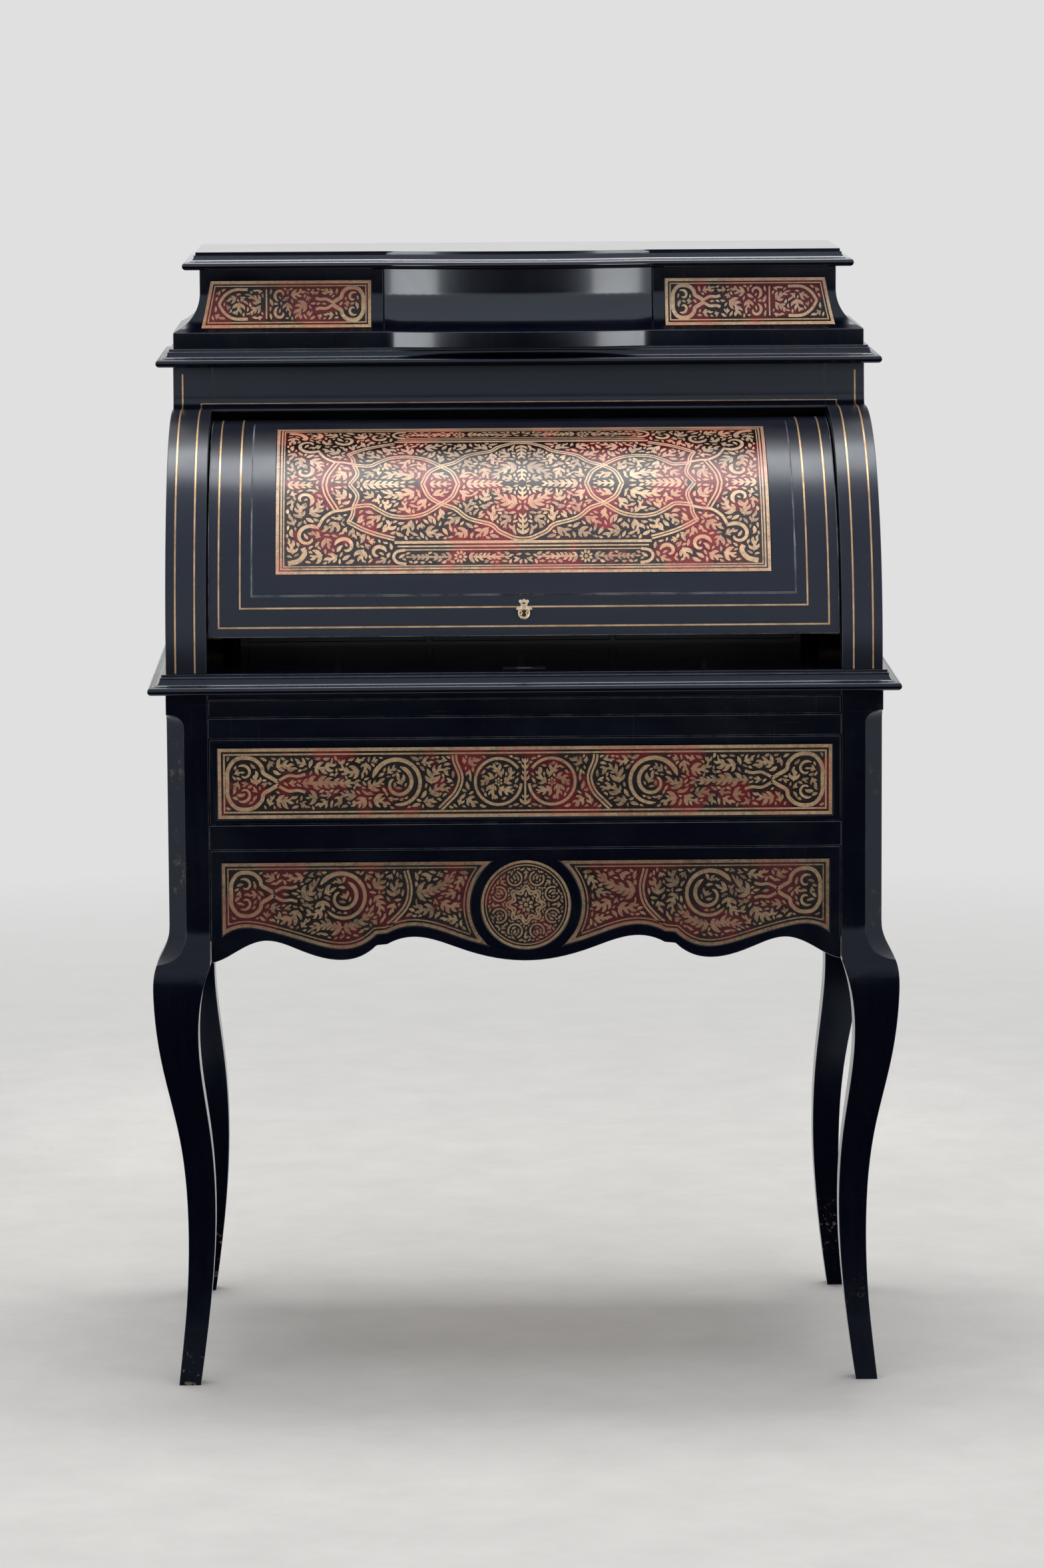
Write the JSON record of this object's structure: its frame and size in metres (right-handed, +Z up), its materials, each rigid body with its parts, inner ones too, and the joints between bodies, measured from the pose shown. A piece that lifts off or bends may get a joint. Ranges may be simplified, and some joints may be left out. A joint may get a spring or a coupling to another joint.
{
  "type": "cylinder desk",
  "caption": "Ebonised writing desk on cabriole legs with a curved cylinder lid, brass marquetry drawers, pull-out slide and a tier of small drawers on top.",
  "frame": {"origin": "on the floor, under the middle of the desk board", "axes": "+Z up, front towards -Y, +X to the right seen from the front"},
  "size_m": [0.776, 0.522, 1.1686],
  "materials": {
    "ebonised_wood": "glossy black polish",
    "inner_wood": "plain waxed",
    "nest_wood": "satin polish",
    "marquetry": "brass inlaid in black and red shell",
    "brass": "aged polish",
    "lock_steel": "dull",
    "leather": "worn"
  },
  "bodies": {
    "carcase": {"desk_top": "ebonised_wood", "drawer_rail": "ebonised_wood", "drawer_runners": "inner_wood", "frieze_rail": "ebonised_wood", "front_left_leg": "ebonised_wood", "front_right_leg": "ebonised_wood", "left_lower_side": "ebonised_wood", "left_pilaster": "ebonised_wood", "left_upper_side": "ebonised_wood", "lower_back_panel": "inner_wood", "mid_cornice": "ebonised_wood", "nest_boards": "nest_wood", "nest_uprights": "nest_wood", "pivot_plates": "brass", "pivot_screws": "brass", "rear_left_leg": "ebonised_wood", "rear_right_leg": "ebonised_wood", "right_lower_side": "ebonised_wood", "right_pilaster": "ebonised_wood", "right_upper_side": "ebonised_wood", "slide_bearers": "inner_wood", "slide_rail": "ebonised_wood", "strike_plate": "brass", "top_cornice": "ebonised_wood", "top_plinth": "ebonised_wood", "top_rail": "ebonised_wood", "top_tier_back": "inner_wood", "top_tier_walls": "ebonised_wood", "upper_back_panel": "inner_wood"},
    "lid": {"lid_board": "ebonised_wood", "lid_marquetry": "marquetry", "lid_left_arm": "ebonised_wood", "lid_right_arm": "ebonised_wood", "lock_case": "lock_steel", "escutcheon": "brass"},
    "key": {"key": "brass"},
    "bolt": {"lock_bolt": "lock_steel"},
    "writing_slide": {"slide_board": "ebonised_wood", "slide_leather": "leather"},
    "upper_drawer": {"upper_drawer_front": "ebonised_wood", "upper_drawer_box": "inner_wood", "upper_drawer_marquetry": "marquetry"},
    "lower_drawer": {"lower_drawer_front": "ebonised_wood", "lower_drawer_box": "inner_wood", "lower_drawer_marquetry": "marquetry"},
    "left_top_drawer": {"left_top_drawer_front": "ebonised_wood", "left_top_drawer_box": "inner_wood", "left_top_marquetry": "marquetry"},
    "centre_top_drawer": {"centre_top_drawer_front": "ebonised_wood", "centre_top_drawer_box": "inner_wood"},
    "right_top_drawer": {"right_top_drawer_front": "ebonised_wood", "right_top_drawer_box": "inner_wood", "right_top_marquetry": "marquetry"},
    "left_small_drawer": {"left_nest_drawer": "nest_wood", "left_nest_knob": "brass"},
    "centre_small_drawer": {"centre_nest_drawer": "nest_wood", "centre_nest_knob": "brass"},
    "right_small_drawer": {"right_nest_drawer": "nest_wood", "right_nest_knob": "brass"}
  },
  "joints": [
    {"name": "lid_turn", "type": "hinge", "parent": "carcase", "child": "lid", "pos_m": [0, 0.0013, 0.762], "axis": [-1, 0, 0], "range_deg": [-8.6, 70]},
    {"name": "key_turn", "type": "hinge", "parent": "lid", "child": "key", "pos_m": [0, -0.22339, 0.81114], "axis": [0, -0.9769, 0.2136], "range_deg": [0, 95]},
    {"name": "bolt_throw", "type": "slide", "parent": "lid", "child": "bolt", "axis": [0, -0.2136, -0.9769], "range_m": [0, 0.008]},
    {"name": "writing_slide_pull", "type": "slide", "parent": "carcase", "child": "writing_slide", "axis": [0, -1, 0], "range_m": [0, 0.3]},
    {"name": "upper_drawer_pull", "type": "slide", "parent": "carcase", "child": "upper_drawer", "axis": [0, -1, 0], "range_m": [0, 0.32]},
    {"name": "lower_drawer_pull", "type": "slide", "parent": "carcase", "child": "lower_drawer", "axis": [0, -1, 0], "range_m": [0, 0.32]},
    {"name": "left_top_drawer_pull", "type": "slide", "parent": "carcase", "child": "left_top_drawer", "axis": [0, -1, 0], "range_m": [0, 0.12]},
    {"name": "centre_top_drawer_pull", "type": "slide", "parent": "carcase", "child": "centre_top_drawer", "axis": [0, -1, 0], "range_m": [0, 0.12]},
    {"name": "right_top_drawer_pull", "type": "slide", "parent": "carcase", "child": "right_top_drawer", "axis": [0, -1, 0], "range_m": [0, 0.12]},
    {"name": "left_small_drawer_pull", "type": "slide", "parent": "carcase", "child": "left_small_drawer", "axis": [0, -1, 0], "range_m": [0, 0.1]},
    {"name": "centre_small_drawer_pull", "type": "slide", "parent": "carcase", "child": "centre_small_drawer", "axis": [0, -1, 0], "range_m": [0, 0.1]},
    {"name": "right_small_drawer_pull", "type": "slide", "parent": "carcase", "child": "right_small_drawer", "axis": [0, -1, 0], "range_m": [0, 0.1]}
  ],
  "couplings": [
    {"joint": "key_turn", "follows": "bolt_throw", "rad_per_m": 196.3}
  ]
}
